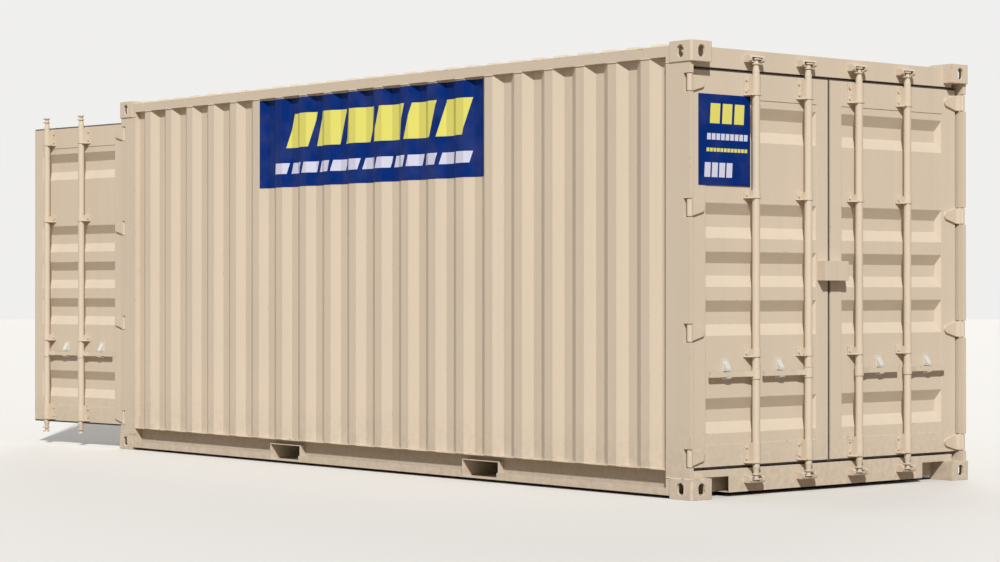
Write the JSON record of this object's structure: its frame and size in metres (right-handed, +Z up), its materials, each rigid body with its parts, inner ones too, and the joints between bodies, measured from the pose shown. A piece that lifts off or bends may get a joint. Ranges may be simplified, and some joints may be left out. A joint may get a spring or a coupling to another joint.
{
  "type": "shipping container",
  "caption": "Corrugated steel freight container with hinged double doors at both ends, turning lock rods, corner castings, fork pockets and a plank floor.",
  "frame": {"origin": "on the ground under the middle of the four bottom castings", "axes": "+X along the box to the front doors, +Y to the right seen facing the front doors, +Z up"},
  "size_m": [7.2199, 2.6484, 2.591],
  "materials": {
    "body_paint": "tan enamel, slightly chalked",
    "casting_paint": "tan enamel over cast steel",
    "lock_gear_paint": "tan enamel on forged and tube steel",
    "plated_catch": "pale zinc coating",
    "underframe": "dark underbody coating",
    "floor_boards": "worn sealed plywood",
    "gasket": "matt extruded rubber"
  },
  "bodies": {
    "container": {"floor": "floor_boards", "left_wall": "body_paint", "right_wall": "body_paint", "roof": "body_paint", "left_top_rail": "body_paint", "right_top_rail": "body_paint", "left_bottom_rail": "body_paint", "right_bottom_rail": "body_paint", "cross_members": "underframe", "fork_pockets": "body_paint", "front_left_post": "body_paint", "front_right_post": "body_paint", "back_left_post": "body_paint", "back_right_post": "body_paint", "top_castings": "casting_paint", "bottom_castings": "casting_paint", "front_header": "body_paint", "back_header": "body_paint", "front_sill": "body_paint", "back_sill": "body_paint"},
    "front_left_leaf": {"front_left_door": "body_paint", "front_left_gasket": "gasket", "front_left_rod_guides": "lock_gear_paint", "front_left_catches": "plated_catch", "front_left_lock_box": "body_paint"},
    "front_left_outer_lock": {"front_left_outer_rod": "lock_gear_paint"},
    "front_left_inner_lock": {"front_left_inner_rod": "lock_gear_paint"},
    "front_right_leaf": {"front_right_door": "body_paint", "front_right_gasket": "gasket", "front_right_rod_guides": "lock_gear_paint", "front_right_catches": "plated_catch", "front_right_lock_box": "body_paint"},
    "front_right_outer_lock": {"front_right_outer_rod": "lock_gear_paint"},
    "front_right_inner_lock": {"front_right_inner_rod": "lock_gear_paint"},
    "back_left_leaf": {"back_left_door": "body_paint", "back_left_gasket": "gasket", "back_left_rod_guides": "lock_gear_paint", "back_left_catches": "plated_catch"},
    "back_left_outer_lock": {"back_left_outer_rod": "lock_gear_paint"},
    "back_left_inner_lock": {"back_left_inner_rod": "lock_gear_paint"},
    "back_right_leaf": {"back_right_door": "body_paint", "back_right_gasket": "gasket", "back_right_rod_guides": "lock_gear_paint", "back_right_catches": "plated_catch"},
    "back_right_outer_lock": {"back_right_outer_rod": "lock_gear_paint"},
    "back_right_inner_lock": {"back_right_inner_rod": "lock_gear_paint"}
  },
  "joints": [
    {"name": "front_left_swing", "type": "hinge", "parent": "container", "child": "front_left_leaf", "pos_m": [2.994, -1.197, 1.293], "axis": [0, 0, -1], "range_deg": [0, 262]},
    {"name": "front_left_outer_turn", "type": "hinge", "parent": "front_left_leaf", "child": "front_left_outer_lock", "pos_m": [3.001, -0.667, 1.3], "axis": [0, 0, -1], "range_deg": [-120, 0]},
    {"name": "front_left_inner_turn", "type": "hinge", "parent": "front_left_leaf", "child": "front_left_inner_lock", "pos_m": [3.001, -0.224, 1.3], "axis": [0, 0, -1], "range_deg": [-120, 0]},
    {"name": "front_right_swing", "type": "hinge", "parent": "container", "child": "front_right_leaf", "pos_m": [2.994, 1.197, 1.293], "axis": [0, 0, 1], "range_deg": [0, 262]},
    {"name": "front_right_outer_turn", "type": "hinge", "parent": "front_right_leaf", "child": "front_right_outer_lock", "pos_m": [3.001, 0.667, 1.3], "axis": [0, 0, 1], "range_deg": [-120, 0]},
    {"name": "front_right_inner_turn", "type": "hinge", "parent": "front_right_leaf", "child": "front_right_inner_lock", "pos_m": [3.001, 0.224, 1.3], "axis": [0, 0, 1], "range_deg": [-120, 0]},
    {"name": "back_left_swing", "type": "hinge", "parent": "container", "child": "back_left_leaf", "pos_m": [-2.994, -1.197, 1.293], "axis": [0, 0, 1], "range_deg": [-95.5, 166.5]},
    {"name": "back_left_outer_turn", "type": "hinge", "parent": "back_left_leaf", "child": "back_left_outer_lock", "pos_m": [-3.52089, -1.25477, 1.3], "axis": [0, 0, 1], "range_deg": [-120, 0]},
    {"name": "back_left_inner_turn", "type": "hinge", "parent": "back_left_leaf", "child": "back_left_inner_lock", "pos_m": [-3.96185, -1.29723, 1.3], "axis": [0, 0, 1], "range_deg": [-120, 0]},
    {"name": "back_right_swing", "type": "hinge", "parent": "container", "child": "back_right_leaf", "pos_m": [-2.994, 1.197, 1.293], "axis": [0, 0, -1], "range_deg": [-95.5, 166.5]},
    {"name": "back_right_outer_turn", "type": "hinge", "parent": "back_right_leaf", "child": "back_right_outer_lock", "pos_m": [-3.52089, 1.25477, 1.3], "axis": [0, 0, -1], "range_deg": [-120, 0]},
    {"name": "back_right_inner_turn", "type": "hinge", "parent": "back_right_leaf", "child": "back_right_inner_lock", "pos_m": [-3.96185, 1.29723, 1.3], "axis": [0, 0, -1], "range_deg": [-120, 0]}
  ]
}
